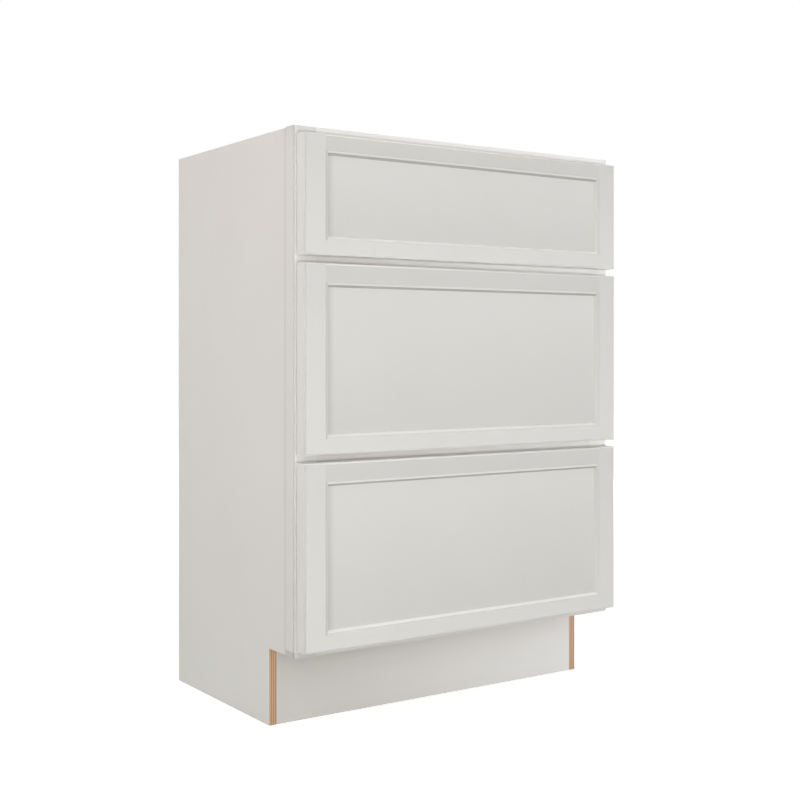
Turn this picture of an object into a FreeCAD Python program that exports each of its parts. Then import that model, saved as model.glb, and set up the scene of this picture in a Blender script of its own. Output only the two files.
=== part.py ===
import FreeCAD, Part
import math
import os

# A three-drawer kitchen base cabinet: a plywood carcass with a solid face frame,
# three dovetailed drawer boxes on telescopic side slides, and framed drawer
# fronts that lie over the face frame. Units are millimetres.
# X runs to the viewer's right, Y runs into the cabinet and Z is up. The origin
# is on the floor, midway across the width and midway from front to back.

V = FreeCAD.Vector
os.makedirs("parts", exist_ok=True)

# ---- driving dimensions ---------------------------------------------------

# overall
CABINET_WIDTH = 609.6        # across the face frame
CABINET_HEIGHT = 876.3       # floor to the top of the carcass
CABINET_DEPTH = 390.5        # front of the face frame to the back

# carcass
SIDE_THICKNESS = 12.7
SIDE_OVERHANG = 2.4          # how far the face frame stands past each side panel
TOE_HEIGHT = 114.3           # clear height under the face frame
TOE_RECESS = 76.2            # front of the face frame to the toe board
TOE_BOARD_THICKNESS = 12.7
DECK_THICKNESS = 12.7
DADO_DEPTH = 5.0             # how far the deck is let into the side panels
BACK_THICKNESS = 6.35
BACK_RABBET = 6.35           # how far the back is let into the side panels
HANGING_RAIL_HEIGHT = 76.2
HANGING_RAIL_THICKNESS = 19.05
BRACE_LEG = 92.0             # corner braces that the worktop is screwed to
BRACE_TIP = 14.0
BRACE_THICKNESS = 15.9
BRACE_HOLE_DIAMETER = 5.0
BRACE_HOLE_INSET = 32.0

# face frame
FRAME_THICKNESS = 22.2
FRAME_EDGE_RADIUS = 2.4      # outer front edges of the frame
FRAME_STILE_WIDTH = 38.1
FRAME_RAIL_WIDTH = 38.1
FRAME_TENON_LENGTH = 15.0
FRAME_TENON_THICKNESS = 8.0
FRAME_TENON_SHOULDER = 6.0

# drawer fronts on the face frame
TOP_REVEAL = 12.2            # face frame left bare above the upper front
BOTTOM_REVEAL = 9.9
SIDE_REVEAL = 4.4
FRONT_GAP = 11.2             # between one front and the next
UPPER_FRONT_HEIGHT = 173.5
MIDDLE_FRONT_HEIGHT = 274.2
FRONT_THICKNESS = 22.8
FRONT_EDGE_RADIUS = 3.0
FRONT_STILE_FACE = 35.0      # flat face of the upright members
UPPER_TOP_RAIL_FACE = 23.4   # flat face of the level members, upper drawer
UPPER_BOTTOM_RAIL_FACE = 21.0
DEEP_TOP_RAIL_FACE = 27.8    # the same on the two deep drawers
DEEP_BOTTOM_RAIL_FACE = 22.4
STICKING_WIDTH = 6.5         # moulded inner edge of the members
QUIRK_DEPTH = 0.8            # step where the moulding leaves the face
CREST_DEPTH = 0.1            # crest of the moulding below the face
CREST_SHARE = 0.55           # share of the moulding that climbs to its crest
CREST_RADIUS = 1.0
PANEL_RECESS = 5.0           # face of the members to the face of the panel
TONGUE_THICKNESS = 6.35
PANEL_GROOVE_DEPTH = 9.5
PANEL_FLOAT = 0.8            # room round the panel for the wood to move
BUMPER_THICKNESS = 1.2       # holds a shut front off the face frame
BUMPER_DIAMETER = 9.0
BUMPER_INSET = 12.0

# drawer boxes
BOX_WALL = 12.7
BOX_FLOOR_CLEARANCE = 9.5    # box above the rail under it
BOX_HEAD_CLEARANCE = 20.0    # box below the rail over it
BOX_REAR_CLEARANCE = 12.6    # box to the hanging rail
BOX_BOTTOM_THICKNESS = 6.35
BOX_BOTTOM_RISE = 9.5
BOX_GROOVE_DEPTH = 6.35
TAIL_PITCH = 25.4
TAIL_END_SHARE = 0.70        # share of the pitch that a tail takes at its end
TAIL_ANGLE = 8.0
FRONT_SCREW_DIAMETER = 4.2
FRONT_SCREW_HEAD_DIAMETER = 8.5
FRONT_SCREW_HEAD_HEIGHT = 2.4
FRONT_SCREW_GRIP = 10.0      # length held in the drawer front
FRONT_SCREW_INSET_X = 60.0
FRONT_SCREW_INSET_Z = 26.0
HEAD_SIDES = 12              # flats of a screw head or a bumper
SHANK_SIDES = 8

# telescopic slides
SLIDE_SPACE = 12.7           # frame opening to the side of the box
SLIDE_HEIGHT = 45.7
SLIDE_SHEET = 1.2
SLIDE_SETBACK = 2.5          # slide behind the front of the face frame
SLIDE_RISE = 38.0            # middle of the slide above the bottom of the box
SLIDE_LIP = 2.0
SLIDE_BEND = 0.9             # corner taken off at each bend
RACE_HEIGHT = 3.6            # between nested flanges, where the balls run
OUTER_CHANNEL_WIDTH = 9.5
MIDDLE_CHANNEL_OFFSET = 3.8
MIDDLE_CHANNEL_WIDTH = 7.2
INNER_CHANNEL_WIDTH = 6.7
RETAINER_LENGTH = 100.0
RETAINER_INSET = 10.0
RETAINER_CLEARANCE = 0.15
RETAINER_WIDTH = 4.0
CLEAT_HEIGHT = 60.0
SLIDE_SCREW_DIAMETER = 3.6
SLIDE_SCREW_HEAD_DIAMETER = 7.6
SLIDE_SCREW_HEAD_HEIGHT = 1.8
SLIDE_SCREW_LENGTH = 16.0
SLIDE_SCREW_INSET = 36.0

# ---- positions that follow from them --------------------------------------

frame_y = -(CABINET_DEPTH - FRONT_THICKNESS - BUMPER_THICKNESS) / 2.0
frame_back_y = frame_y + FRAME_THICKNESS
rear_y = frame_y + CABINET_DEPTH
back_panel_y = rear_y - BACK_THICKNESS
hanging_rail_y = back_panel_y - HANGING_RAIL_THICKNESS
toe_y = frame_y + TOE_RECESS

frame_half = CABINET_WIDTH / 2.0
side_outer = frame_half - SIDE_OVERHANG
side_inner = side_outer - SIDE_THICKNESS
opening_half = frame_half - FRAME_STILE_WIDTH
box_half = opening_half - SLIDE_SPACE

front_back_y = frame_y - BUMPER_THICKNESS
front_face_y = front_back_y - FRONT_THICKNESS
front_half = frame_half - SIDE_REVEAL

box_front_y = front_back_y
box_rear_y = hanging_rail_y - BOX_REAR_CLEARANCE
slide_front_y = frame_y + SLIDE_SETBACK
slide_length = box_rear_y - slide_front_y

# front edges of the drawer fronts, from the top down
upper_top = CABINET_HEIGHT - TOP_REVEAL
upper_bottom = upper_top - UPPER_FRONT_HEIGHT
middle_top = upper_bottom - FRONT_GAP
middle_bottom = middle_top - MIDDLE_FRONT_HEIGHT
lower_top = middle_bottom - FRONT_GAP
lower_bottom = TOE_HEIGHT + BOTTOM_REVEAL

# the two middle rails sit behind the gaps between the fronts
upper_rail_z = (upper_bottom + middle_top - FRAME_RAIL_WIDTH) / 2.0
lower_rail_z = (middle_bottom + lower_top - FRAME_RAIL_WIDTH) / 2.0
deck_top = TOE_HEIGHT + FRAME_RAIL_WIDTH

UPPER_RAIL_FACES = (UPPER_TOP_RAIL_FACE, UPPER_BOTTOM_RAIL_FACE)
DEEP_RAIL_FACES = (DEEP_TOP_RAIL_FACE, DEEP_BOTTOM_RAIL_FACE)

# name, front bottom, front top, rail faces, opening bottom, opening top
DRAWERS = (
    ("upper", upper_bottom, upper_top, UPPER_RAIL_FACES,
     upper_rail_z + FRAME_RAIL_WIDTH, CABINET_HEIGHT - FRAME_RAIL_WIDTH),
    ("middle", middle_bottom, middle_top, DEEP_RAIL_FACES,
     lower_rail_z + FRAME_RAIL_WIDTH, upper_rail_z),
    ("lower", lower_bottom, lower_top, DEEP_RAIL_FACES,
     deck_top, lower_rail_z),
)

# ---- helpers --------------------------------------------------------------


def box(x0, x1, y0, y1, z0, z1):
    return Part.makeBox(x1 - x0, y1 - y0, z1 - z0, V(x0, y0, z0))


def mirrored(shape):
    """The same piece on the other side of the cabinet's middle plane."""
    return shape.mirror(V(0, 0, 0), V(1, 0, 0))


def joined(shapes):
    whole = shapes[0].fuse(shapes[1:]) if len(shapes) > 1 else shapes[0]
    return whole.removeSplitter()


def outline(corners, place):
    """A closed face through corners (a, b, radius); place makes a point of (a, b)."""
    count = len(corners)
    arrive, middle, leave = [], [], []
    for i in range(count):
        a, b, r = corners[i]
        before, after = corners[i - 1], corners[(i + 1) % count]
        if r <= 0:
            arrive.append((a, b))
            middle.append(None)
            leave.append((a, b))
            continue
        ua, ub = before[0] - a, before[1] - b
        wa, wb = after[0] - a, after[1] - b
        lu, lw = math.hypot(ua, ub), math.hypot(wa, wb)
        ua, ub, wa, wb = ua / lu, ub / lu, wa / lw, wb / lw
        half = math.acos(max(-1.0, min(1.0, ua * wa + ub * wb))) / 2.0
        run = r / math.tan(half)
        ba, bb = ua + wa, ub + wb
        lb = math.hypot(ba, bb)
        reach = r / math.sin(half) - r
        arrive.append((a + ua * run, b + ub * run))
        middle.append((a + ba / lb * reach, b + bb / lb * reach))
        leave.append((a + wa * run, b + wb * run))
    edges = []
    for i in range(count):
        j = (i + 1) % count
        if middle[i] is not None:
            edges.append(Part.Arc(place(*arrive[i]), place(*middle[i]),
                                  place(*leave[i])).toShape())
        edges.append(Part.LineSegment(place(*leave[i]), place(*arrive[j])).toShape())
    return Part.Face(Part.Wire(edges))


def rod(radius, length, base, direction, sides):
    """A bar with flats all round, light enough to repeat many times."""
    side = direction.cross(V(0, 0, 1))
    up = direction.cross(side)
    step = 2.0 * math.pi / sides
    ring = [base + side * (radius * math.cos(i * step))
            + up * (radius * math.sin(i * step)) for i in range(sides)]
    return Part.Face(Part.makePolygon(ring + ring[:1])).extrude(direction * length)


def screw(seat, direction, length, diameter, head_diameter, head_height):
    """A pan-head screw whose head sits on the point seat, shank along direction."""
    shank = rod(diameter / 2.0, length, seat, direction, SHANK_SIDES)
    head = rod(head_diameter / 2.0, head_height, seat - direction * head_height,
               direction, HEAD_SIDES)
    return joined([shank, head])


def export(name, shapes):
    shape = shapes if isinstance(shapes, Part.Shape) else Part.makeCompound(shapes)
    shape.exportStep("parts/" + name + ".step")


# ---- carcass --------------------------------------------------------------


def deck():
    return box(-side_inner - DADO_DEPTH, side_inner + DADO_DEPTH,
               frame_back_y, back_panel_y, deck_top - DECK_THICKNESS, deck_top)


def back():
    return box(-side_inner - BACK_RABBET, side_inner + BACK_RABBET,
               back_panel_y, rear_y, 0.0, CABINET_HEIGHT)


def side_panel():
    """Right side panel, notched at the front foot, with its dado and rabbet."""
    profile = [(toe_y, 0.0, 0.0), (rear_y, 0.0, 0.0), (rear_y, CABINET_HEIGHT, 0.0),
               (frame_back_y, CABINET_HEIGHT, 0.0), (frame_back_y, TOE_HEIGHT, 0.0),
               (toe_y, TOE_HEIGHT, 0.0)]
    face = outline(profile, lambda a, b: V(side_inner, a, b))
    panel = face.extrude(V(SIDE_THICKNESS, 0, 0))
    return panel.cut(deck()).cut(back())


def corner_brace(x_sign, y_corner, y_sign):
    """A blunt triangular block in a top corner, bored for a worktop screw."""
    top = CABINET_HEIGHT
    plan = [(0.0, 0.0), (BRACE_LEG, 0.0), (BRACE_LEG, BRACE_TIP),
            (BRACE_TIP, BRACE_LEG), (0.0, BRACE_LEG)]
    corners = [(x_sign * (side_inner - a), y_corner + y_sign * b, 0.0)
               for a, b in plan]
    face = outline(corners, lambda a, b: V(a, b, top - BRACE_THICKNESS))
    block = face.extrude(V(0, 0, BRACE_THICKNESS))
    hole = Part.makeCylinder(
        BRACE_HOLE_DIAMETER / 2.0, BRACE_THICKNESS,
        V(x_sign * (side_inner - BRACE_HOLE_INSET),
          y_corner + y_sign * BRACE_HOLE_INSET, top - BRACE_THICKNESS))
    return block.cut(hole)


def frame_rail(z0):
    """A level member of the face frame with a tenon at each end."""
    board = box(-opening_half, opening_half, frame_y, frame_back_y,
                z0, z0 + FRAME_RAIL_WIDTH)
    reach = opening_half + FRAME_TENON_LENGTH
    tenon_y = frame_y + (FRAME_THICKNESS - FRAME_TENON_THICKNESS) / 2.0
    tenons = box(-reach, reach, tenon_y, tenon_y + FRAME_TENON_THICKNESS,
                 z0 + FRAME_TENON_SHOULDER,
                 z0 + FRAME_RAIL_WIDTH - FRAME_TENON_SHOULDER)
    return joined([board, tenons])


def frame_stile(rails):
    """The right upright of the face frame, mortised for the tenons of the rails."""
    board = box(opening_half, frame_half, frame_y, frame_back_y,
                TOE_HEIGHT, CABINET_HEIGHT)
    outer_edge = [e for e in board.Edges
                  if all(abs(v.X - frame_half) < 1e-6 and abs(v.Y - frame_y) < 1e-6
                         for v in e.Vertexes)]
    return board.makeFillet(FRAME_EDGE_RADIUS, outer_edge).cut(rails)


def slide_cleat(centre_z):
    """Plywood strip that brings the right slide level with the frame opening."""
    return box(opening_half, side_inner, frame_back_y, back_panel_y,
               centre_z - CLEAT_HEIGHT / 2.0, centre_z + CLEAT_HEIGHT / 2.0)


# ---- telescopic slides ----------------------------------------------------

# Across the slide, distance is counted from the cleat toward the drawer box.
outer_half_height = SLIDE_HEIGHT / 2.0
middle_half_height = outer_half_height - SLIDE_SHEET - RACE_HEIGHT
inner_half_height = middle_half_height - SLIDE_SHEET - RACE_HEIGHT


def channel(web, width, half_height, centre_z, opens):
    """A rolled channel: web at distance web, flanges with lips; opens is +1
    toward the drawer box or -1 toward the cleat."""
    t, lip, r = SLIDE_SHEET, SLIDE_LIP, SLIDE_BEND
    h, w = half_height, width
    half = [(w - t, h - t), (w - t, h - t - lip), (w, h - t - lip), (w, h - r),
            (w - r, h), (r, h), (0, h - r)]
    corners = [(t, h - t)] + half
    corners += [(a, -b) for a, b in reversed(corners)]
    face = outline([(a, b, 0.0) for a, b in corners],
                   lambda a, b: V(opening_half - web - opens * a,
                                  slide_front_y, centre_z + b))
    return face.extrude(V(0, slide_length, 0))


def retainer(distance, width, low, high, y0, centre_z):
    """The cage of a row of balls, a strip in the race between two flanges."""
    strips = []
    for sign in (-1.0, 1.0):
        a, b = sorted((sign * low, sign * high))
        strips.append(box(opening_half - distance - width, opening_half - distance,
                          y0, y0 + RETAINER_LENGTH, centre_z + a, centre_z + b))
    return strips


def slide_members(centre_z):
    outer = channel(0.0, OUTER_CHANNEL_WIDTH, outer_half_height, centre_z, 1)
    middle = channel(MIDDLE_CHANNEL_OFFSET, MIDDLE_CHANNEL_WIDTH,
                     middle_half_height, centre_z, 1)
    inner = channel(SLIDE_SPACE, INNER_CHANNEL_WIDTH, inner_half_height, centre_z, -1)
    c = RETAINER_CLEARANCE
    # the outer rows ride at the back of the middle member, the inner at its front
    rows = retainer(MIDDLE_CHANNEL_OFFSET, RETAINER_WIDTH, middle_half_height + c,
                    middle_half_height + RACE_HEIGHT - c,
                    slide_front_y + slide_length - RETAINER_INSET - RETAINER_LENGTH,
                    centre_z)
    rows += retainer(MIDDLE_CHANNEL_OFFSET + SLIDE_SHEET + c, RETAINER_WIDTH,
                     inner_half_height + c, inner_half_height + RACE_HEIGHT - c,
                     slide_front_y + RETAINER_INSET, centre_z)
    return outer, middle, inner, rows


def cleat_screws(centre_z):
    """Screws through the web of the right cabinet channel into its cleat."""
    x = opening_half - SLIDE_SHEET
    ends = (slide_front_y + SLIDE_SCREW_INSET,
            slide_front_y + slide_length - SLIDE_SCREW_INSET)
    return [screw(V(x, y, centre_z), V(1, 0, 0), SLIDE_SCREW_LENGTH,
                  SLIDE_SCREW_DIAMETER, SLIDE_SCREW_HEAD_DIAMETER,
                  SLIDE_SCREW_HEAD_HEIGHT) for y in ends]


# ---- drawer fronts --------------------------------------------------------


def member_profile(face_width):
    """Section of a front member: (distance from its outer edge, depth from the
    face, radius). A moulded inner edge, then the groove for the panel."""
    edge = face_width + STICKING_WIDTH
    groove = edge - PANEL_GROOVE_DEPTH
    return [(0, 0, 0), (face_width, 0, 0), (face_width, QUIRK_DEPTH, 0),
            (face_width + CREST_SHARE * STICKING_WIDTH, CREST_DEPTH, CREST_RADIUS),
            (edge, PANEL_RECESS, 0), (groove, PANEL_RECESS, 0), (groove, PANEL_RECESS + TONGUE_THICKNESS, 0),
            (edge, PANEL_RECESS + TONGUE_THICKNESS, 0), (edge, FRONT_THICKNESS, 0),
            (0, FRONT_THICKNESS, 0)]


def drawer_front(z0, z1, rail_faces):
    """Two stiles, two coped rails and a captive panel."""
    blank = box(-front_half, front_half, front_face_y, front_back_y, z0, z1)
    rim = [e for e in blank.Edges
           if all(abs(v.Y - front_face_y) < 1e-6 for v in e.Vertexes)]
    blank = blank.makeFillet(FRONT_EDGE_RADIUS, rim)

    section = outline(member_profile(FRONT_STILE_FACE),
                      lambda a, d: V(front_half - a, front_face_y + d, z0))
    stile = section.extrude(V(0, 0, z1 - z0))
    other = mirrored(stile)

    stile_groove = FRONT_STILE_FACE + STICKING_WIDTH - PANEL_GROOVE_DEPTH
    reach = front_half - stile_groove
    rails = []
    for edge_z, inward, face in ((z1, -1.0, rail_faces[0]), (z0, 1.0, rail_faces[1])):
        section = outline(member_profile(face),
                          lambda a, d, e=edge_z, s=inward:
                          V(-reach, front_face_y + d, e + s * a))
        rail = section.extrude(V(2.0 * reach, 0, 0))
        coped = rail.cut(stile).cut(other).common(blank)
        # crumbs in the quirk of a stile come off with the cope
        rails.append(max(coped.Solids, key=lambda solid: solid.Volume))

    tongue_x = reach - PANEL_FLOAT
    tongue = STICKING_WIDTH - PANEL_GROOVE_DEPTH + PANEL_FLOAT
    body_x = front_half - FRONT_STILE_FACE - STICKING_WIDTH - PANEL_FLOAT
    body = STICKING_WIDTH + PANEL_FLOAT
    below, above = z0 + rail_faces[1], z1 - rail_faces[0]
    face_y = front_face_y + PANEL_RECESS
    tongue_y = face_y + TONGUE_THICKNESS
    panel = joined([
        box(-tongue_x, tongue_x, face_y, tongue_y, below + tongue, above - tongue),
        box(-body_x, body_x, face_y, front_back_y, below + body, above - body)])
    return other.common(blank), stile.common(blank), rails[0], rails[1], panel


def bumpers(z1):
    """A soft disc behind each upper corner of a front, against the frame stiles."""
    x = frame_half - FRAME_STILE_WIDTH / 2.0
    disc = rod(BUMPER_DIAMETER / 2.0, BUMPER_THICKNESS,
               V(x, front_back_y, z1 - BUMPER_INSET), V(0, 1, 0), HEAD_SIDES)
    return [disc, mirrored(disc)]


# ---- drawer boxes ---------------------------------------------------------


def tails(z0, z1):
    """Tails of the right side board at both ends, wide at the end of the board."""
    count = max(2, int(round((z1 - z0) / TAIL_PITCH)))
    pitch = (z1 - z0) / count
    end_half = pitch * TAIL_END_SHARE / 2.0
    base_half = end_half - BOX_WALL * math.tan(math.radians(TAIL_ANGLE))
    x = box_half - BOX_WALL
    shapes = []
    for end_y, base_y in ((box_front_y, box_front_y + BOX_WALL),
                          (box_rear_y, box_rear_y - BOX_WALL)):
        for i in range(count):
            z = z0 + (i + 0.5) * pitch
            corners = [(end_y, z - end_half, 0), (base_y, z - base_half, 0),
                       (base_y, z + base_half, 0), (end_y, z + end_half, 0)]
            face = outline(corners, lambda a, b: V(x, a, b))
            shapes.append(face.extrude(V(BOX_WALL, 0, 0)))
    return shapes


def box_screws(z0, z1):
    """Screws from inside the box into the back of the drawer front."""
    x = box_half - FRONT_SCREW_INSET_X
    return [screw(V(sx, box_front_y + BOX_WALL, z), V(0, -1, 0),
                  BOX_WALL + FRONT_SCREW_GRIP, FRONT_SCREW_DIAMETER,
                  FRONT_SCREW_HEAD_DIAMETER, FRONT_SCREW_HEAD_HEIGHT)
            for sx in (-x, x)
            for z in (z0 + FRONT_SCREW_INSET_Z, z1 - FRONT_SCREW_INSET_Z)]


def drawer_box(z0, z1):
    inner_x = box_half - BOX_WALL
    inner_front = box_front_y + BOX_WALL
    inner_rear = box_rear_y - BOX_WALL
    bottom = box(-inner_x - BOX_GROOVE_DEPTH, inner_x + BOX_GROOVE_DEPTH,
                 inner_front - BOX_GROOVE_DEPTH, inner_rear + BOX_GROOVE_DEPTH,
                 z0 + BOX_BOTTOM_RISE, z0 + BOX_BOTTOM_RISE + BOX_BOTTOM_THICKNESS)
    right_tails = tails(z0, z1)
    all_tails = right_tails + [mirrored(t) for t in right_tails]
    core = box(inner_x, box_half, inner_front, inner_rear, z0, z1)
    right = joined([core] + right_tails).cut(bottom)
    left = mirrored(right)
    front = box(-box_half, box_half, box_front_y, inner_front, z0, z1)
    rear = box(-box_half, box_half, inner_rear, box_rear_y, z0, z1)
    return left, right, front.cut(all_tails).cut(bottom), \
        rear.cut(all_tails).cut(bottom), bottom


# ---- build ----------------------------------------------------------------

right_side = side_panel()
export("side_panel_right", right_side)
export("side_panel_left", mirrored(right_side))
export("deck_panel", deck())
export("back_panel", back())
export("toe_kick_board", box(-side_inner, side_inner, toe_y,
                             toe_y + TOE_BOARD_THICKNESS, 0.0,
                             deck_top - DECK_THICKNESS))
export("hanging_rail", box(-side_inner, side_inner, hanging_rail_y, back_panel_y,
                           CABINET_HEIGHT - HANGING_RAIL_HEIGHT, CABINET_HEIGHT))
export("corner_braces", [corner_brace(sx, y, sy)
                         for sx in (-1.0, 1.0)
                         for y, sy in ((frame_back_y, 1.0), (hanging_rail_y, -1.0))])

frame_rails = {
    "face_frame_top_rail": frame_rail(CABINET_HEIGHT - FRAME_RAIL_WIDTH),
    "face_frame_upper_middle_rail": frame_rail(upper_rail_z),
    "face_frame_lower_middle_rail": frame_rail(lower_rail_z),
    "face_frame_bottom_rail": frame_rail(TOE_HEIGHT),
}
for name, rail in frame_rails.items():
    export(name, rail)
right_stile = frame_stile(list(frame_rails.values()))
export("face_frame_stile_right", right_stile)
export("face_frame_stile_left", mirrored(right_stile))

cleats, screws = [], []
for name, front_z0, front_z1, rail_faces, opening_z0, opening_z1 in DRAWERS:
    z0 = opening_z0 + BOX_FLOOR_CLEARANCE
    z1 = opening_z1 - BOX_HEAD_CLEARANCE
    slide_z = z0 + SLIDE_RISE

    stile_l, stile_r, rail_t, rail_b, panel = drawer_front(front_z0, front_z1,
                                                           rail_faces)
    left, right, front, rear, bottom = drawer_box(z0, z1)
    fixings = box_screws(z0, z1)
    drawer = "drawer_" + name
    export(drawer + "_front_stile_left", stile_l)
    export(drawer + "_front_stile_right", stile_r)
    export(drawer + "_front_rail_top", rail_t.cut(fixings))
    export(drawer + "_front_rail_bottom", rail_b.cut(fixings))
    export(drawer + "_front_panel", panel.cut(fixings))
    export(drawer + "_bumpers", bumpers(front_z1))
    export(drawer + "_box_side_left", left)
    export(drawer + "_box_side_right", right)
    export(drawer + "_box_front", front.cut(fixings))
    export(drawer + "_box_back", rear)
    export(drawer + "_box_bottom", bottom)
    export(drawer + "_front_screws", fixings)

    outer, middle, inner, rows = slide_members(slide_z)
    right_screws = cleat_screws(slide_z)
    outer = outer.cut(right_screws)
    cleat = slide_cleat(slide_z).cut(right_screws)
    cleats += [cleat, mirrored(cleat)]
    screws += right_screws + [mirrored(s) for s in right_screws]
    export("slide_cabinet_channels_" + name, [outer, mirrored(outer)])
    export("slide_intermediate_channels_" + name,
           [middle, mirrored(middle)] + rows + [mirrored(r) for r in rows])
    export("slide_drawer_channels_" + name, [inner, mirrored(inner)])
export("slide_cleats", cleats)
export("slide_screws", screws)
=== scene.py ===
import math

import bmesh
import bpy
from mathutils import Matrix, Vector


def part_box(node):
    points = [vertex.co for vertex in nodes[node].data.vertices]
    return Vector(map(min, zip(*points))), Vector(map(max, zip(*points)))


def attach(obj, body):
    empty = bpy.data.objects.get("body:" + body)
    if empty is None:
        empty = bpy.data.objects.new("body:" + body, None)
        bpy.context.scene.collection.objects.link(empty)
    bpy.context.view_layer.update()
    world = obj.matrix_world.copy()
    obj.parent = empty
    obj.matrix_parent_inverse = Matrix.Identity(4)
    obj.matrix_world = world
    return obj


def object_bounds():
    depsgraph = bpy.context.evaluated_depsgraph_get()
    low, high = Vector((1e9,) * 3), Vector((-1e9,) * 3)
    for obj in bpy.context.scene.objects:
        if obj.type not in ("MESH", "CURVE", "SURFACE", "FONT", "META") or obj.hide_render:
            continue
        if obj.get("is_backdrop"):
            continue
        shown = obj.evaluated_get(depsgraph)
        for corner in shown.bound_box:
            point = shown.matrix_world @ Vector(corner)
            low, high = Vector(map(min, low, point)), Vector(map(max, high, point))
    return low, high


# Looks of a painted three-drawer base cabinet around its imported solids.
# Metres; X to the viewer's right, Y into the cabinet, Z up, floor at Z = 0.

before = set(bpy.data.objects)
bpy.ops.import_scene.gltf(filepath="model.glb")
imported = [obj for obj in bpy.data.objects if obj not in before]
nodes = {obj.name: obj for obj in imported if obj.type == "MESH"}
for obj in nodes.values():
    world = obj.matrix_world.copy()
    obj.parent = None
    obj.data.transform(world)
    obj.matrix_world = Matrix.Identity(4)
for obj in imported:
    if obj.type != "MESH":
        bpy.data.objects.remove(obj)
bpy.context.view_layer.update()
LEVELS = ("upper", "middle", "lower")
PLAIN_WHITE = (1.0, 1.0, 1.0)

# ---- shader graphs ----------------------------------------------------------


def tint(red, green, blue):
    """Linear colour of a screen colour given in 0 to 255."""
    values = []
    for value in (red, green, blue):
        share = value / 255.0
        values.append(share / 12.92 if share <= 0.04045
                      else ((share + 0.055) / 1.055) ** 2.4)
    return (values[0], values[1], values[2], 1.0)


def add_node(tree, kind, sockets=None, **settings):
    """A node with its settings; a value of sockets is a link or a constant."""
    node = tree.nodes.new(kind)
    for key, value in settings.items():
        setattr(node, key, value)
    for key, value in (sockets or {}).items():
        socket = node.inputs[key]
        if isinstance(value, bpy.types.NodeSocket):
            tree.links.new(value, socket)
        else:
            socket.default_value = value
    return node


def direct_rays(tree):
    """1 where the camera sees a surface straight, in a mirror or through glass."""
    rays = add_node(tree, "ShaderNodeLightPath").outputs
    indirect = add_node(tree, "ShaderNodeMath", {
        0: rays["Is Glossy Ray"], 1: rays["Is Transmission Ray"]},
        operation="MAXIMUM")
    return add_node(tree, "ShaderNodeMath", {
        0: rays["Is Camera Ray"], 1: indirect.outputs[0]},
        operation="MAXIMUM").outputs[0]


class Graph:
    """A material and short ways to add nodes to it."""

    def __init__(self, name):
        self.material = bpy.data.materials.new(name)
        self.material.use_nodes = True
        self.tree = self.material.node_tree
        self.tree.nodes.clear()
        self.out = self.tree.nodes.new("ShaderNodeOutputMaterial")
        self.coordinates = self.tree.nodes.new("ShaderNodeTexCoord")
        self.place = self.coordinates.outputs["Object"]

    def add(self, kind, sockets=None, **settings):
        return add_node(self.tree, kind, sockets, **settings)

    def math(self, operation, a, b=0.0):
        node = self.add("ShaderNodeMath", {0: a, 1: b}, operation=operation)
        return node.outputs[0]

    def shade(self, colour, share):
        """A colour made darker by a share or by another colour."""
        return self.mix(1.0, colour, share, "MULTIPLY")

    def axes(self, vector):
        node = self.add("ShaderNodeSeparateXYZ", {0: vector})
        return node.outputs[0], node.outputs[1], node.outputs[2]

    def scaled(self, scale, vector=None):
        node = self.add("ShaderNodeMapping", {"Vector": vector or self.place,
                                              "Scale": scale})
        return node.outputs[0]

    def noise(self, vector, scale=1.0, detail=2.0, roughness=0.5):
        node = self.add("ShaderNodeTexNoise", {
            "Vector": vector, "Scale": scale, "Detail": detail,
            "Roughness": roughness})
        return node.outputs["Fac"]

    def ramp(self, factor, *stops):
        node = self.add("ShaderNodeValToRGB", {0: factor})
        elements = node.color_ramp.elements
        while len(elements) < len(stops):
            elements.new(0.5)
        for element, (position, value) in zip(elements, stops):
            element.position = position
            element.color = value if isinstance(value, tuple) \
                else (value, value, value, 1.0)
        return node.outputs[0]

    def spread(self, value, low, high, to_low=0.0, to_high=1.0):
        node = self.add("ShaderNodeMapRange", {
            "Value": value, "From Min": low, "From Max": high,
            "To Min": to_low, "To Max": to_high}, clamp=True)
        return node.outputs[0]

    def mix(self, factor, a, b, blend_type="MIX"):
        node = self.add("ShaderNodeMix", {0: factor, 6: a, 7: b},
                        data_type="RGBA", blend_type=blend_type)
        return node.outputs[2]

    def blend(self, factor, a, b):
        node = self.add("ShaderNodeMix", {0: factor, 2: a, 3: b},
                        data_type="FLOAT")
        return node.outputs[0]

    def bump(self, height, distance, strength):
        node = self.add("ShaderNodeBump", {"Height": height,
                                           "Distance": distance,
                                           "Strength": strength})
        return node.outputs[0]

    def surface(self, shader):
        self.tree.links.new(shader.outputs[0], self.out.inputs["Surface"])
        return self.material

    def finish(self, sockets):
        return self.surface(self.add("ShaderNodeBsdfPrincipled", sockets))


AXIS = {"x": 0, "y": 1, "z": 2}


def along(axis, length_scale, cross_scale):
    """A stretch for grain that runs along one axis."""
    scale = [cross_scale] * 3
    scale[AXIS[axis]] = length_scale
    return tuple(scale)


def darker(colour, share):
    """A colour times a share."""
    return tuple(share * value for value in colour[:3]) + (1.0,)


# ---- paint ------------------------------------------------------------------

PAINT_IOR = 1.46
WOOD_IOR = 1.48
PAINT_LAP = 0.0001              # over which paint gives way to bare wood
PAINT_RAGGED = 0.0003           # how far its edge wanders
TURN_BLEND = 0.02               # of the height of a piece


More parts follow.
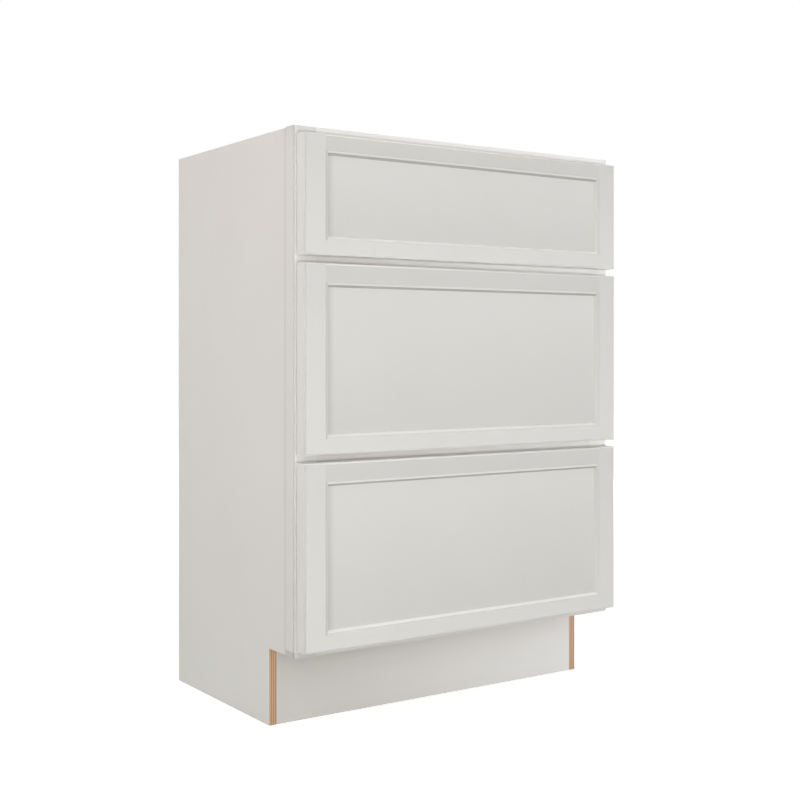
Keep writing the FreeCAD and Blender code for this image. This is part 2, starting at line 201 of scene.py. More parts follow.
def paint_layers(graph, low, high, grain, tone_axis="z", turns=()):
    """Colour, roughness and height of sprayed paint over wood: a slow tone from the foot
    of the piece to its head, which is painted light and shade, cloudiness, and a hint of
    the grain. turns holds (axis, start, end, tone, above): the painted highlight or shade
    that the paint takes where the surface leans along an axis by between start and end,
    above a share of the height of the piece."""
    generated = graph.axes(graph.coordinates.outputs["Generated"])
    tone = graph.ramp(generated[AXIS[tone_axis]], (0.0, low), (1.0, high))
    leans = graph.axes(graph.coordinates.outputs["Normal"])
    for axis, start, end, turned, above in turns:
        share = graph.spread(leans[AXIS[axis]], start, end)
        if above:
            share = graph.math("MULTIPLY", share, graph.spread(
                generated[2], above, above + TURN_BLEND))
        tone = graph.mix(share, tone, turned)
    cloud = graph.noise(graph.place, 7.0, 3.0, 0.55)
    tone = graph.shade(tone, graph.ramp(cloud, (0.30, 0.985), (0.70, 1.0)))
    fibre = graph.noise(graph.scaled(along(grain, 9.0, 420.0)), 1.0, 3.0, 0.6)
    tone = graph.shade(tone, graph.ramp(fibre, (0.25, 0.988), (0.75, 1.0)))
    peel = graph.noise(graph.place, 520.0, 1.0)
    rough = graph.spread(graph.noise(graph.place, 38.0, 3.0), 0.3, 0.7,
                         0.46, 0.56)
    height = graph.math("ADD", graph.math("MULTIPLY", peel, 0.6),
                        graph.math("MULTIPLY", fibre, 0.4))
    return tone, rough, height


def paint(name, low, high, grain, turns=(), corner=None):
    """corner is (start, end, shade): shares of the width over which a painted shadow along
    the left edge goes from dark to plain."""
    graph = Graph(name)
    colour, rough, height = paint_layers(graph, low, high, grain, turns=turns)
    if corner:
        start, end, shade = corner
        across = graph.axes(graph.coordinates.outputs["Generated"])[0]
        colour = graph.shade(colour, graph.spread(across, start, end, shade, 1.0))
    return graph.finish({
        "Base Color": colour, "Roughness": rough, "IOR": PAINT_IOR,
        "Normal": graph.bump(height, 0.00004, 0.5)})


# ---- wood -------------------------------------------------------------------


def wood_layers(graph, grain, light, dark, fleck=0.5):
    """Colour, roughness and height of long grain along one axis."""
    drift = graph.noise(graph.scaled(along(grain, 1.3, 6.0)), 1.0, 2.0)
    bent = graph.add("ShaderNodeVectorMath", {
        0: graph.place,
        1: graph.add("ShaderNodeCombineXYZ", {
            i: graph.math("MULTIPLY", drift, 0.05)
            for i in range(3) if i != AXIS[grain]}).outputs[0]},
        operation="ADD").outputs[0]
    figure = graph.noise(graph.scaled(along(grain, 1.6, 62.0), bent),
                         1.0, 5.0, 0.55)
    fibre = graph.noise(graph.scaled(along(grain, 22.0, 850.0)), 1.0, 3.0, 0.6)
    pore = graph.spread(fibre, 0.58, 0.78)
    colour = graph.ramp(figure, (0.30, light), (0.72, dark))
    colour = graph.mix(graph.math("MULTIPLY", pore, fleck), colour,
                       darker(dark, 0.62))
    rough = graph.spread(figure, 0.3, 0.7, 0.38, 0.52)
    return colour, rough, graph.math("SUBTRACT", figure, pore)


def end_layers(graph, dark):
    """Colour of cut fibre ends."""
    speck = graph.noise(graph.place, 1400.0, 2.0, 0.7)
    ring = graph.noise(graph.scaled((160.0, 160.0, 160.0)), 1.0, 2.0)
    return graph.shade(graph.ramp(ring, (0.3, dark), (0.7, darker(dark, 0.72))),
                       graph.ramp(speck, (0.3, 0.80), (0.7, 1.0)))


def ply_layers(graph, thickness_axis, sheet, light, dark):
    """Colour of a plywood edge: sheets laid crosswise in turn."""
    place = graph.axes(graph.place)[AXIS[thickness_axis]]
    waver = graph.noise(graph.place, 24.0, 2.0)
    place = graph.math("ADD", place, graph.math("MULTIPLY", waver, 0.0006))
    wave = graph.math("SINE", graph.math("MULTIPLY", place, math.pi / sheet))
    fine = graph.noise(graph.place, 900.0, 2.0, 0.7)
    colour = graph.mix(graph.spread(wave, -0.25, 0.25), light, dark)
    return graph.shade(colour, graph.ramp(fine, (0.3, 0.84), (0.7, 1.0)))


def facing(graph, axis):
    """1 on faces square to an axis, 0 on faces along it."""
    normal = graph.axes(graph.coordinates.outputs["Normal"])[AXIS[axis]]
    return graph.spread(graph.math("ABSOLUTE", normal), 0.6, 0.8)


def solid_wood(name, grain, light, dark):
    """Bare boards with long grain on the faces and cut fibre on the ends."""
    graph = Graph(name)
    colour, rough, height = wood_layers(graph, grain, light, dark, 0.35)
    colour = graph.mix(facing(graph, grain), colour, end_layers(graph, dark))
    return graph.finish({
        "Base Color": colour, "Roughness": rough, "IOR": WOOD_IOR,
        "Normal": graph.bump(height, 0.00006, 0.6)})


def veneer_layers(graph, grain, light, dark):
    """Colour, roughness and height of a peeled face veneer: wandering contours
    of the growth rings over fine fibre."""
    field = graph.noise(graph.scaled(along(grain, 0.55, 3.6)), 1.0, 2.0, 0.45)
    contour = graph.math("SINE", graph.math("MULTIPLY", field, 105.0))
    contour = graph.spread(contour, -1.0, 1.0)
    colour, rough, height = wood_layers(graph, grain, light, dark, 0.35)
    share = graph.math("MULTIPLY", graph.math("POWER", contour, 2.5), 0.42)
    return graph.mix(share, colour, darker(dark, 0.90)), rough, height


def staples(graph, colour, line, pitch):
    """Crowns of staples in two upright rows at x = line and x = -line."""
    x, _, z = graph.axes(graph.place)
    across = graph.math("ABSOLUTE", graph.math(
        "SUBTRACT", graph.math("ABSOLUTE", x), line))
    turns = graph.math("FRACT", graph.math("MULTIPLY", z, 1.0 / pitch))
    upright = graph.math("MULTIPLY", pitch, graph.math(
        "ABSOLUTE", graph.math("SUBTRACT", turns, 0.5)))
    reach = graph.math("MAXIMUM", graph.math("DIVIDE", across, STAPLE_WIRE / 2),
                       graph.math("DIVIDE", upright, STAPLE_CROWN / 2))
    return graph.mix(graph.spread(reach, 1.1, 0.9), colour, STAPLE_GREY)


def plywood(name, grain, thickness_axis, sheet, light, dark, core, stapled=None):
    """stapled is (line, pitch) of the staples through the face."""
    graph = Graph(name)
    colour, rough, height = veneer_layers(graph, grain, light, dark)
    if stapled:
        colour = staples(graph, colour, *stapled)
    edge = ply_layers(graph, thickness_axis, sheet, light, core)
    colour = graph.mix(facing(graph, thickness_axis), edge, colour)
    return graph.finish({
        "Base Color": colour, "Roughness": rough, "IOR": WOOD_IOR,
        "Normal": graph.bump(height, 0.00006, 0.6)})


def half_painted(name, low, high, axis, limit, outward, grain, light, dark,
                 core, thickness_axis=None, sheet=0.0, tone_axis="z", turns=(),
                 painted_shades=(), edge_light=None):
    """Paint on one side of the plane axis = limit, bare wood on the other.
    outward is -1 where the paint lies at smaller values, and 0 where it lies at both ends.
    fades holds (axis, start, end, shade) of painted shade: darkest up to start and plain
    from end on. edge_light is the pale sheet of the bare edge."""
    graph = Graph(name)
    colour, rough, height = paint_layers(graph, low, high, grain, tone_axis, turns)
    for shade_axis, start, end, shade in painted_shades:
        share = graph.spread(graph.axes(graph.place)[AXIS[shade_axis]], start, end,
                             shade, 1.0)
        colour = graph.shade(colour, share)
    bare, bare_rough, bare_height = wood_layers(graph, grain, light, dark)
    if thickness_axis:
        edge = ply_layers(graph, thickness_axis, sheet, edge_light or light, core)
        bare = graph.mix(facing(graph, thickness_axis), edge, bare)
    else:
        bare = graph.mix(facing(graph, grain), bare, end_layers(graph, core))
    place = graph.axes(graph.place)[AXIS[axis]]
    if outward == 0:
        place = graph.math("ABSOLUTE", place)
    ragged = graph.math("MULTIPLY", graph.noise(graph.place, 160.0, 3.0),
                        PAINT_RAGGED)
    place = graph.math("ADD", place, ragged)
    covered = graph.spread(place, limit, limit + PAINT_LAP)
    if outward < 0:
        covered = graph.math("SUBTRACT", 1.0, covered)
    return graph.finish({
        "Base Color": graph.mix(covered, bare, colour),
        "Roughness": graph.blend(covered, bare_rough, rough), "IOR": PAINT_IOR,
        "Normal": graph.bump(graph.blend(covered, bare_height, height),
                             0.00005, 0.5)})


# ---- metal and plastic ------------------------------------------------------


def zinc(name):
    """Bright zinc plate on rolled sheet, drawn along Y."""
    graph = Graph(name)
    streak = graph.noise(graph.scaled((900.0, 14.0, 900.0)), 1.0, 3.0, 0.6)
    cloud = graph.noise(graph.place, 60.0, 3.0, 0.6)
    colour = graph.ramp(cloud, (0.30, (0.56, 0.59, 0.63, 1.0)),
                        (0.52, (0.66, 0.67, 0.68, 1.0)),
                        (0.74, (0.69, 0.66, 0.58, 1.0)))
    colour = graph.shade(colour, graph.ramp(streak, (0.25, 0.82), (0.75, 1.0)))
    rough = graph.spread(streak, 0.3, 0.7, 0.24, 0.40)
    return graph.finish({
        "Base Color": colour, "Metallic": 1.0, "Roughness": rough,
        "Normal": graph.bump(streak, 0.00002, 0.5)})


def soft_clear(name):
    """Milky see-through bumper."""
    graph = Graph(name)
    haze = graph.noise(graph.place, 700.0, 3.0)
    return graph.finish({
        "Base Color": graph.ramp(haze, (0.3, (0.80, 0.80, 0.78, 1.0)),
                                 (0.7, (0.90, 0.90, 0.88, 1.0))),
        "Roughness": graph.spread(haze, 0.3, 0.7, 0.18, 0.34),
        "Transmission Weight": 0.55, "IOR": 1.45,
        "Normal": graph.bump(haze, 0.00004, 0.4)})


def dark_plastic(name):
    """Moulded lever: nearly black, with a faint grain and rubbed places."""
    graph = Graph(name)
    pebble = graph.noise(graph.place, 1600.0, 2.0, 0.6)
    rubbed = graph.noise(graph.place, 90.0, 2.0)
    return graph.finish({
        "Base Color": graph.ramp(rubbed, (0.35, (0.014, 0.014, 0.015, 1.0)),
                                 (0.70, (0.032, 0.032, 0.034, 1.0))),
        "Roughness": graph.spread(rubbed, 0.35, 0.7, 0.48, 0.34), "IOR": 1.5,
        "Normal": graph.bump(pebble, 0.00005, 0.6)})


# ---- colours ----------------------------------------------------------------

# the whites of a drawer front's members differ only by painted light and shade: stiles
# darker towards the head, top rails darker, bottom rails lighter, panels darker towards
# the foot
WHITE_STILE_LEFT_LOW = tint(212, 211, 207)
WHITE_STILE_LEFT_HIGH = tint(206, 205, 201)
WHITE_STILE_RIGHT_LOW = tint(212, 211, 207)
WHITE_STILE_RIGHT_HIGH = tint(204, 203, 199)
WHITE_RAIL_TOP = tint(200, 199, 195)
WHITE_RAIL_BOTTOM = tint(212, 211, 207)
WHITE_PANEL_LOW = tint(200, 199, 195)
WHITE_PANEL_HIGH = tint(211, 210, 206)
# tones that the paint takes by the way a surface leans: painted highlights on the lip,
# crown, sill, undersides and the fronts' left flank, and painted shade in the hollow, on
# the downward slope and on the eased front edge
LIP_HIGHLIGHT = tint(218, 217, 213)
CROWN_HIGHLIGHT = tint(228, 227, 223)
SILL_HIGHLIGHT = tint(241, 240, 236)
UNDERSIDE_LIGHT_TONE = tint(246, 245, 241)
HOLLOW_SHADE = tint(188, 187, 183)
DEEP_SHADE = tint(176, 175, 171)
FLANK_LIGHT = tint(225, 222, 216)
EASED_EDGE_SHADE = tint(194, 193, 189)
# The frame and toe board whites carry painted light: the frame is lighter than the fronts
# to offset the shade they cast on it, the rails and toe board grow lighter towards the
# right, and the strip beside the fronts grows lighter towards the top. The frame's eased
# edge and side face carry painted shade, and the bottom rail is darker, a painted shade
# under the lower front.
WHITE_STRIP_LOW = tint(227, 225, 221)
WHITE_STRIP_HIGH = tint(234, 232, 228)
FRAME_EDGE_SHADE = tint(190, 188, 184)
FRAME_SIDE_SHADE = tint(220, 217, 212)
WHITE_TOP_RAIL_LEFT = tint(235, 232, 228)
WHITE_TOP_RAIL_RIGHT = tint(244, 243, 241)
WHITE_MID_RAIL_LEFT = tint(212, 208, 205)
WHITE_MID_RAIL_RIGHT = tint(247, 246, 244)
WHITE_NEXT_RAIL_LEFT = tint(207, 202, 199)
WHITE_NEXT_RAIL_RIGHT = tint(238, 236, 234)
WHITE_LOW_RAIL_LEFT = tint(198, 196, 192)
WHITE_LOW_RAIL_RIGHT = tint(212, 210, 206)
WHITE_TOE_LEFT = tint(200, 198, 193)
WHITE_TOE_RIGHT = tint(234, 233, 231)
WHITE_SIDE_LOW = tint(222, 220, 214)
WHITE_SIDE_HIGH = tint(222, 217, 213)
PLY_LIGHT = tint(226, 201, 163)
PLY_DARK = tint(205, 172, 128)
PLY_CORE = tint(172, 124, 82)
BARE_LEFT_LIGHT = tint(202, 166, 128)
BARE_LEFT_DARK = tint(170, 128, 92)
# the right side's bare edge is paler than the left's, mostly painted light that offsets
# the shade on that edge and partly the sheet's own colour
LIT_BARE_RIGHT_LIGHT = tint(214, 182, 150)
LIT_BARE_RIGHT_DARK = tint(184, 146, 116)
STAPLE_GREY = tint(122, 116, 108)
MAPLE_LIGHT = tint(232, 210, 174)
MAPLE_DARK = tint(213, 184, 142)
STAPLE_WIRE = 0.0013
STAPLE_CROWN = 0.0062
STAPLE_PITCH = 0.125
STAPLE_EDGE = 0.004             # from the side edge of the back panel
THIN_SHEET = 0.0013             # one sheet of the thin plywood
PLY_SHEET = 0.0018              # of the usual plywood
THICK_SHEET = 0.0019            # of the thick plywood
FILM = 0.0006                   # reach of the paint into a board's outer face

# ---- materials on the solids ------------------------------------------------

side_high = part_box("side_panel_right")[1]
frame_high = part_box("face_frame_stile_right")[1]
toe_low, toe_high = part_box("toe_kick_board")
back_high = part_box("back_panel")[1]
front_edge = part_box("drawer_upper_front_stile_left")[0].x
front_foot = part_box("drawer_lower_front_stile_left")[0].z

# painted highlight and shade by the way a surface leans: (axis, start, end, tone, above)
LIT_UNDERSIDE = ("z", -0.50, -0.90, UNDERSIDE_LIGHT_TONE, 0)
STILE_HEAD_HIGHLIGHT = ("z", 0.30, 0.60, CROWN_HIGHLIGHT, 0)
paint_stile_left = paint(
    "paint_stile_left", WHITE_STILE_LEFT_LOW, WHITE_STILE_LEFT_HIGH, "z",
    turns=(("x", -0.06, -0.14, HOLLOW_SHADE, 0),
           ("x", -0.25, -0.50, EASED_EDGE_SHADE, 0),
           ("x", -0.70, -0.98, FLANK_LIGHT, 0), STILE_HEAD_HIGHLIGHT, LIT_UNDERSIDE))
paint_stile_right = paint(
    "paint_stile_right", WHITE_STILE_RIGHT_LOW, WHITE_STILE_RIGHT_HIGH, "z",
    turns=(STILE_HEAD_HIGHLIGHT, LIT_UNDERSIDE))
paint_rail_top = paint(
    "paint_rail_top", WHITE_RAIL_TOP, WHITE_RAIL_TOP, "x",
    turns=(("z", 0.08, 0.15, LIP_HIGHLIGHT, 0), ("z", 0.03, 0.25, CROWN_HIGHLIGHT, 0.88),
           ("z", -0.20, -0.60, DEEP_SHADE, 0)))
paint_rail_bottom = paint(
    "paint_rail_bottom", WHITE_RAIL_BOTTOM, WHITE_RAIL_BOTTOM, "x",
    turns=(("z", 0.20, 0.50, SILL_HIGHLIGHT, 0), LIT_UNDERSIDE))
# the panel is darker towards the foot, a painted shade, and carries a painted shadow of
# the left stile along its left edge
paint_panel = paint("paint_panel", WHITE_PANEL_LOW, WHITE_PANEL_HIGH, "z",
                    corner=(0.020, 0.038, 0.885))

# painted shade along the frame's top edge, under the lower front and behind the edge of
# the fronts, a painted shadow of the frame's edge on the side panels behind it, and
# painted shade on the toe board under the overhang
TOP_EDGE_SHADE = ("z", frame_high.z, frame_high.z - 0.009, 0.91)
UNDER_FRONT_SHADE = ("z", front_foot - 0.0016, front_foot, 0.76)
BEHIND_FRONT_SHADE = ("x", front_edge + 0.0015, front_edge, 0.86)
FRAME_SHADOW_ON_SIDE = ("y", frame_high.y + 0.003, frame_high.y + 0.009, 0.76)
TOE_OVERHANG_SHADE = ("z", toe_high.z, 0.02, 0.86)


def frame_paint(name, low, high, grain, turns=(), painted_shades=()):
    """Paint on a frame member, bare maple on its back; low and high are the tones at the
    ends of the grain, and their difference is painted light and shade."""
    return half_painted(name, low, high, "y", frame_high.y - PAINT_LAP, -1, grain,
                        MAPLE_LIGHT, MAPLE_DARK, MAPLE_DARK, tone_axis=grain,
                        turns=turns, painted_shades=painted_shades)


paint_frame_left = frame_paint(
    "paint_frame_left", WHITE_STRIP_LOW, WHITE_STRIP_HIGH, "z",
    (("x", -0.05, -0.25, FRAME_EDGE_SHADE, 0),
     ("x", -0.80, -0.99, FRAME_SIDE_SHADE, 0)),
    (TOP_EDGE_SHADE, UNDER_FRONT_SHADE, BEHIND_FRONT_SHADE))
paint_frame_right = frame_paint("paint_frame_right", WHITE_TOP_RAIL_RIGHT,
                                WHITE_TOP_RAIL_RIGHT, "z",
                                painted_shades=(TOP_EDGE_SHADE, UNDER_FRONT_SHADE))
paint_frame_top = frame_paint("paint_frame_top", WHITE_TOP_RAIL_LEFT,
                              WHITE_TOP_RAIL_RIGHT, "x", painted_shades=(TOP_EDGE_SHADE,))
paint_frame_middle = frame_paint("paint_frame_middle", WHITE_MID_RAIL_LEFT,
                                 WHITE_MID_RAIL_RIGHT, "x")
paint_frame_next = frame_paint("paint_frame_next", WHITE_NEXT_RAIL_LEFT,
                               WHITE_NEXT_RAIL_RIGHT, "x")
paint_frame_low = frame_paint("paint_frame_low", WHITE_LOW_RAIL_LEFT,
                              WHITE_LOW_RAIL_RIGHT, "x")


def side_paint(name, light, dark):
    """Paint on the outer face, with a painted shadow of the frame along its front edge,
    bare plywood inside and along the edges.
    """
    return half_painted(name, WHITE_SIDE_LOW, WHITE_SIDE_HIGH, "x",
                        side_high.x - FILM, 0, "z", PLY_LIGHT, PLY_DARK, dark,
                        "x", PLY_SHEET, painted_shades=(FRAME_SHADOW_ON_SIDE,), edge_light=light)


paint_side_left = side_paint("paint_side_left", BARE_LEFT_LIGHT, BARE_LEFT_DARK)
paint_side_right = side_paint("paint_side_right", LIT_BARE_RIGHT_LIGHT, LIT_BARE_RIGHT_DARK)
paint_toe = half_painted("paint_toe", WHITE_TOE_LEFT, WHITE_TOE_RIGHT, "y",
                         toe_low.y + 2 * FILM, -1, "x", PLY_LIGHT, PLY_DARK,
                         PLY_CORE, "y", PLY_SHEET, "x", painted_shades=(TOE_OVERHANG_SHADE,))
ply_back = plywood("ply_back", "z", "y", THIN_SHEET, PLY_LIGHT, PLY_DARK,
                   PLY_CORE, (back_high.x - STAPLE_EDGE, STAPLE_PITCH))
ply_rail = plywood("ply_rail", "x", "y", THICK_SHEET, PLY_LIGHT, PLY_DARK,
                   PLY_CORE)
ply_deck = plywood("ply_deck", "x", "z", PLY_SHEET, PLY_LIGHT, PLY_DARK, PLY_CORE)
ply_cleat = plywood("ply_cleat", "y", "x", THICK_SHEET, PLY_LIGHT, PLY_DARK,
                    PLY_CORE)
wood_side = solid_wood("maple_side", "y", MAPLE_LIGHT, MAPLE_DARK)
wood_end = solid_wood("maple_end", "x", MAPLE_LIGHT, MAPLE_DARK)
ply_bottom = plywood("ply_bottom", "x", "z", THIN_SHEET, MAPLE_LIGHT, MAPLE_DARK,
                     PLY_CORE)
steel = zinc("zinc_plate")
clear = soft_clear("clear_bumper")
black = dark_plastic("lever_plastic")

# part of a node's name, its material and the width of its eased edges
LOOKS = [
    ("face_frame_stile_left", paint_frame_left, 0.0002),
    ("face_frame_stile_right", paint_frame_right, 0.0002),
    ("face_frame_top", paint_frame_top, 0.0002),
    ("face_frame_bottom", paint_frame_low, 0.0002),
    ("face_frame_upper", paint_frame_middle, 0.0002),
    ("face_frame_lower", paint_frame_next, 0.0002),
    ("side_panel_left", paint_side_left, 0.0004),
    ("side_panel_right", paint_side_right, 0.0004),
    ("toe_kick", paint_toe, 0.0004),
    ("back_panel", ply_back, 0.0003),
    ("hanging_rail", ply_rail, 0.0005),
    ("corner_braces", ply_deck, 0.0006),
    ("deck_panel", ply_deck, 0.0003),
    ("slide_cleats", ply_cleat, 0.0005),
    ("slide_", steel, 0.0),
    ("_front_screws", steel, 0.0),
    ("_bumpers", clear, 0.0005),
    ("_front_stile_left", paint_stile_left, 0.0002),
    ("_front_stile_right", paint_stile_right, 0.0002),
    ("_front_rail_top", paint_rail_top, 0.0002),
    ("_front_rail_bottom", paint_rail_bottom, 0.0002),
    ("_front_panel", paint_panel, 0.0),
    ("_box_side", wood_side, 0.0004),
    ("_box_front", wood_end, 0.0004),
    ("_box_back", wood_end, 0.0004),
    ("_box_bottom", ply_bottom, 0.0003),
]

WELD_REACH = 0.000002
BOARD_ANGLE = 32.0
LEVER_ANGLE = 40.0
LEVER_EASE = 0.0003


def ease_edges(piece, width, angle, harden):
    """Round the edges of a piece that turn by more than an angle in degrees."""
    edge = piece.modifiers.new("eased_edges", "BEVEL")
    edge.width = width
    edge.segments = 2
    edge.limit_method = "ANGLE"
    edge.angle_limit = math.radians(angle)
    edge.harden_normals = harden


for name, node in nodes.items():
    for key, material, ease in LOOKS:
        if key in name:
            break
    else:
        raise ValueError("no look for " + name)
    node.material_slots[0].material = material
    if ease:
        weld = node.modifiers.new("weld", "WELD")
        weld.merge_threshold = WELD_REACH
        ease_edges(node, ease, BOARD_ANGLE, True)

# ---- screws and release levers on the drawer channels -----------------------

CHANNEL_SHEET = 0.0012
HEAD_RADIUS = 0.0038
HEAD_HEIGHT = 0.0017
SLOT_HALF = 0.12                # of the head's radius, as the next three
PAN_RINGS = ((0.20, 1.00, True), (0.36, 0.98, True), (0.56, 0.92, True),
             (0.60, 0.90, False), (0.80, 0.68, False), (0.94, 0.36, False),
             (1.00, 0.00, False))
SLOT_FLOOR = 0.25
SLOT_WIDEST = 0.68              # near the middle of the head
SCREW_SHARES = (0.07, 0.22, 0.90)   # of the channel's length, as the lever's
LEVER_SHARE = 0.38
LEVER_THICKNESS = 0.0024
LEVER_OUTLINE = ((-34.0, -1.6), (-12.0, -2.2), (-6.5, -5.6), (0.0, -6.8),
                 (6.5, -5.6), (9.5, -2.4), (26.0, -2.0), (31.0, -4.6),
                 (37.0, -4.2), (37.0, 1.2), (30.0, 2.6), (24.0, 2.0),
                 (9.5, 2.4), (6.5, 5.6), (0.0, 6.8), (-6.5, 5.6),
                 (-12.0, 2.2), (-27.0, 2.6), (-34.0, 4.4))
LEVER_PIVOT_RADIUS = 0.0034
LEVER_PIVOT_SIDES = 24
LEVER_PIVOT_RINGS = ((1.0, 0.0), (1.0, 0.7), (0.82, 1.0), (0.45, 1.0), (0.35, 0.7))
MILLIMETRE = 0.001


def piece_of(name, work, material, body):
    """The mesh in work as a piece that rides on a body."""
    bmesh.ops.recalc_face_normals(work, faces=work.faces)
    mesh = bpy.data.meshes.new(name)
    work.to_mesh(mesh)
    work.free()
    mesh.materials.append(material)
    piece = bpy.data.objects.new(name, mesh)
    bpy.context.scene.collection.objects.link(piece)
    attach(piece, body)
    return piece


def pan_head(work, seat, out, turn):
    """A pan head with a cross slot, on a wall at seat that faces out along X."""
    loops = []
    for share, tall, slotted in PAN_RINGS:
        half = math.asin(min(SLOT_HALF / share, SLOT_WIDEST))
        free = math.pi / 2 - 2 * half
        steps = [(-half, False), (-half, True), (0.0, True), (half, True),
                 (half, False), (half + free / 3, False),
                 (half + 2 * free / 3, False)]
        loop = []
        for quarter in range(4):
            for angle, low in steps:
                angle += quarter * math.pi / 2 + turn
                rise = HEAD_HEIGHT * (SLOT_FLOOR if slotted and low else tall)
                reach = HEAD_RADIUS * share
                loop.append(work.verts.new((seat[0] + out * rise,
                                            seat[1] + reach * math.cos(angle),
                                            seat[2] + reach * math.sin(angle))))
        loops.append(loop)
    hub = work.verts.new((seat[0] + out * HEAD_HEIGHT * SLOT_FLOOR,
                          seat[1], seat[2]))
    count = len(loops[0])
    for i in range(count):
        j = (i + 1) % count
        work.faces.new((hub, loops[0][i], loops[0][j]))
        for inner, outer in zip(loops, loops[1:]):
            work.faces.new((inner[i], outer[i], outer[j], inner[j]))
    work.faces.new(loops[-1][::-1])


def lever(work, seat, out):
    """A flat release lever with a round pivot, on a wall that faces out."""
    front, rear = [], []
    for along_y, up in LEVER_OUTLINE:
        spot = (seat[1] + along_y * MILLIMETRE, seat[2] + up * MILLIMETRE)
        rear.append(work.verts.new((seat[0], *spot)))
        front.append(work.verts.new((seat[0] + out * LEVER_THICKNESS, *spot)))
    work.faces.new(front)
    work.faces.new(rear[::-1])
    for i in range(len(front)):
        j = (i + 1) % len(front)
        work.faces.new((front[i], rear[i], rear[j], front[j]))
    rings = []
    for share, rise in LEVER_PIVOT_RINGS:
        loop = []
        for i in range(LEVER_PIVOT_SIDES):
            angle = i * 2 * math.pi / LEVER_PIVOT_SIDES
            loop.append(work.verts.new((
                seat[0] + out * (LEVER_THICKNESS + rise * MILLIMETRE),
                seat[1] + share * LEVER_PIVOT_RADIUS * math.cos(angle),
                seat[2] + share * LEVER_PIVOT_RADIUS * math.sin(angle))))
        rings.append(loop)
    for inner, outer in zip(rings, rings[1:]):
        for i in range(LEVER_PIVOT_SIDES):
            j = (i + 1) % LEVER_PIVOT_SIDES
            work.faces.new((inner[i], inner[j], outer[j], outer[i]))
    work.faces.new(rings[-1])


for level in LEVELS:
    low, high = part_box("slide_drawer_channels_" + level)
    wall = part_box("drawer_" + level + "_box_side_right")[1].x + CHANNEL_SHEET
    middle_z = (low.z + high.z) / 2
    length = high.y - low.y
    heads = bmesh.new()
    levers = bmesh.new()
    for side in (-1, 1):
        for number, share in enumerate(SCREW_SHARES):
            turn = 0.5 + 0.7 * number + 0.4 * side
            pan_head(heads, (side * wall, low.y + share * length, middle_z), side,
                     turn)
        lever(levers, (side * wall, low.y + LEVER_SHARE * length, middle_z), side)
    piece_of("drawer_" + level + "_channel_screws", heads, steel,
             "drawer_" + level)
    piece = piece_of("drawer_" + level + "_release_levers", levers, black,
                     "drawer_" + level)
    ease_edges(piece, LEVER_EASE, LEVER_ANGLE, False)

# ---- floor, light and camera ------------------------------------------------

FLOOR_REACH = 14.0
FLOOR_DROP = 0.0004             # below the feet
FLOOR_PAINT = (0.75, 0.75, 0.75, 1.0)
FLOOR_GLOW = 0.64               # under the cabinet, 1 far from it
GLOW_START = 1.0
GLOW_END = 3.5


def flat(name, size, z):
    """A square sheet that reaches size from the middle."""
    mesh = bpy.data.meshes.new(name)
    work = bmesh.new()
    corners = [work.verts.new((x * size, y * size, z))
               for x, y in ((-1, -1), (1, -1), (1, 1), (-1, 1))]
    work.faces.new(corners)
    work.to_mesh(mesh)
    work.free()
    piece = bpy.data.objects.new(name, mesh)
    bpy.context.scene.collection.objects.link(piece)
    return piece


floor = flat("studio_floor", FLOOR_REACH, -FLOOR_DROP)
graph = Graph("studio_floor")
diffuse = graph.add("ShaderNodeBsdfDiffuse", {"Color": FLOOR_PAINT})
reach = graph.add("ShaderNodeVectorMath", {0: graph.place}, operation="LENGTH")
level = graph.spread(reach.outputs["Value"], GLOW_START, GLOW_END, FLOOR_GLOW, 1.0)
glow = graph.add("ShaderNodeEmission", {
    "Color": PLAIN_WHITE + (1.0,),
    "Strength": graph.math("MULTIPLY", direct_rays(graph.tree), level)})
floor.data.materials.append(graph.surface(graph.add(
    "ShaderNodeAddShader", {0: diffuse.outputs[0], 1: glow.outputs[0]})))
floor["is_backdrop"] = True

# the surroundings look white, and give no light
world = bpy.data.worlds.new("studio")
world.use_nodes = True
tree = world.node_tree
tree.nodes.clear()
background = add_node(tree, "ShaderNodeBackground", {
    "Color": PLAIN_WHITE + (1.0,), "Strength": direct_rays(tree)})
add_node(tree, "ShaderNodeOutputWorld", {"Surface": background.outputs[0]})
bpy.context.scene.world = world

RING_RADIUS = 3.4
RING_TARGET = (0.0, 0.0, 0.45)
LAMP_TARGET = (0.0, 0.0, 0.5)
WARM_WHITE = (1.0, 0.985, 0.965)


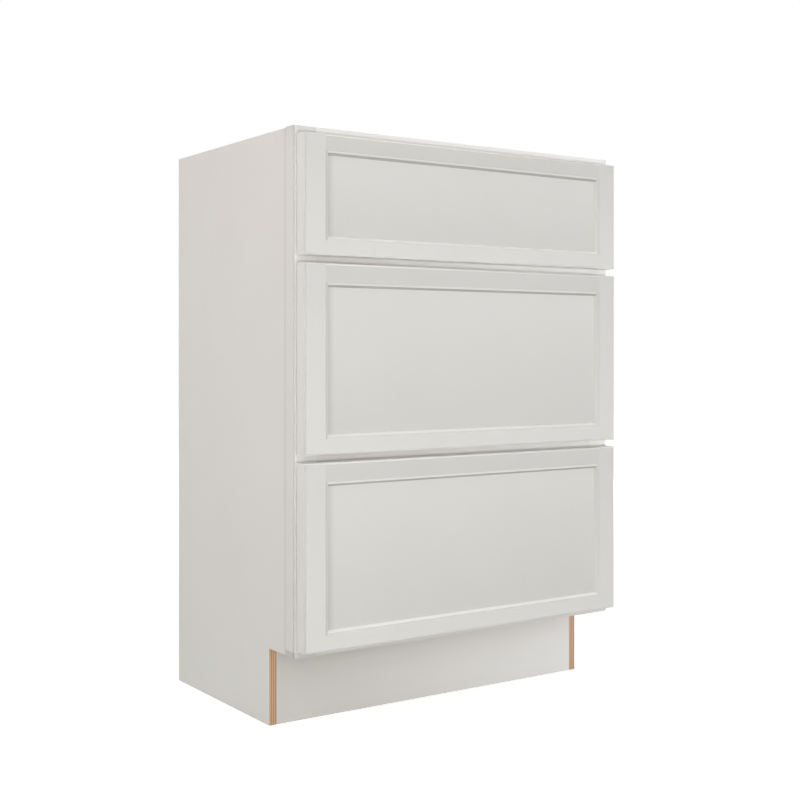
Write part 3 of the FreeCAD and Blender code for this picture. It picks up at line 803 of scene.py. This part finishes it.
def lamp(name, place, target, size, power, colour=PLAIN_WHITE):
    """A soft rectangular lamp at place that faces target."""
    data = bpy.data.lights.new(name, "AREA")
    data.shape = "RECTANGLE"
    data.size, data.size_y = size
    data.energy = power
    data.color = colour
    light = bpy.data.objects.new(name, data)
    light.location = place
    light.rotation_euler = (Vector(target) - Vector(place)).to_track_quat(
        "-Z", "Y").to_euler()
    bpy.context.scene.collection.objects.link(light)


def ring(name, turn, power, height=1.0, size=(1.7, 1.9)):
    """A lamp on a ring around the cabinet; turn is 0 in front, -90 at the left."""
    angle = math.radians(turn)
    lamp(name, (RING_RADIUS * math.sin(angle), -RING_RADIUS * math.cos(angle),
                height), RING_TARGET, size, power)


# the powers follow the light and shade that the photo shows
ring("behind_left", -140.0, 15.5)
ring("front_left", -45.0, 24.8)
ring("near_left", -15.0, 3.1)
ring("near_right", 15.0, 7.0)
ring("front_right", 45.0, 21.3)
ring("right", 98.0, 13.0)
ring("behind_right", 130.0, 18.0)
ring("behind", 180.0, 24.0, 2.8, (0.5, 1.2))
ring("left_strip", -45.0, 7.9, 0.9, (2.4, 0.5))
lamp("ceiling", (0.0, -0.5, 4.0), RING_TARGET, (6.0, 6.0), 69.4)
lamp("left_high", (-2.6, -0.6, 2.4), LAMP_TARGET, (2.0, 1.4), 27.6, WARM_WHITE)
lamp("low_front", (-0.4, -2.6, 0.12), LAMP_TARGET, (2.4, 0.2), 18.8)

# the level camera that was fitted to the edges in the photo
FRAME_PIXELS = 800.0
FOCAL_PIXELS = 1271.3
PRINCIPAL = (381.16, 351.31)
CAMERA_PLACE = (-1.21002, -1.75878, 0.55317)
CAMERA_YAW = math.radians(33.83)
SENSOR_WIDTH = 36.0
camera_data = bpy.data.cameras.new("camera")
camera_data.sensor_width = SENSOR_WIDTH
camera_data.lens = FOCAL_PIXELS * SENSOR_WIDTH / FRAME_PIXELS
camera_data.shift_x = (FRAME_PIXELS / 2 - PRINCIPAL[0]) / FRAME_PIXELS
camera_data.shift_y = (PRINCIPAL[1] - FRAME_PIXELS / 2) / FRAME_PIXELS
camera = bpy.data.objects.new("camera", camera_data)
camera.location = CAMERA_PLACE
camera.rotation_euler = (math.radians(90.0), 0.0, -CAMERA_YAW)
bpy.context.scene.collection.objects.link(camera)
bpy.context.scene.camera = camera
bpy.context.scene.view_settings.view_transform = "Standard"

low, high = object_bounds()
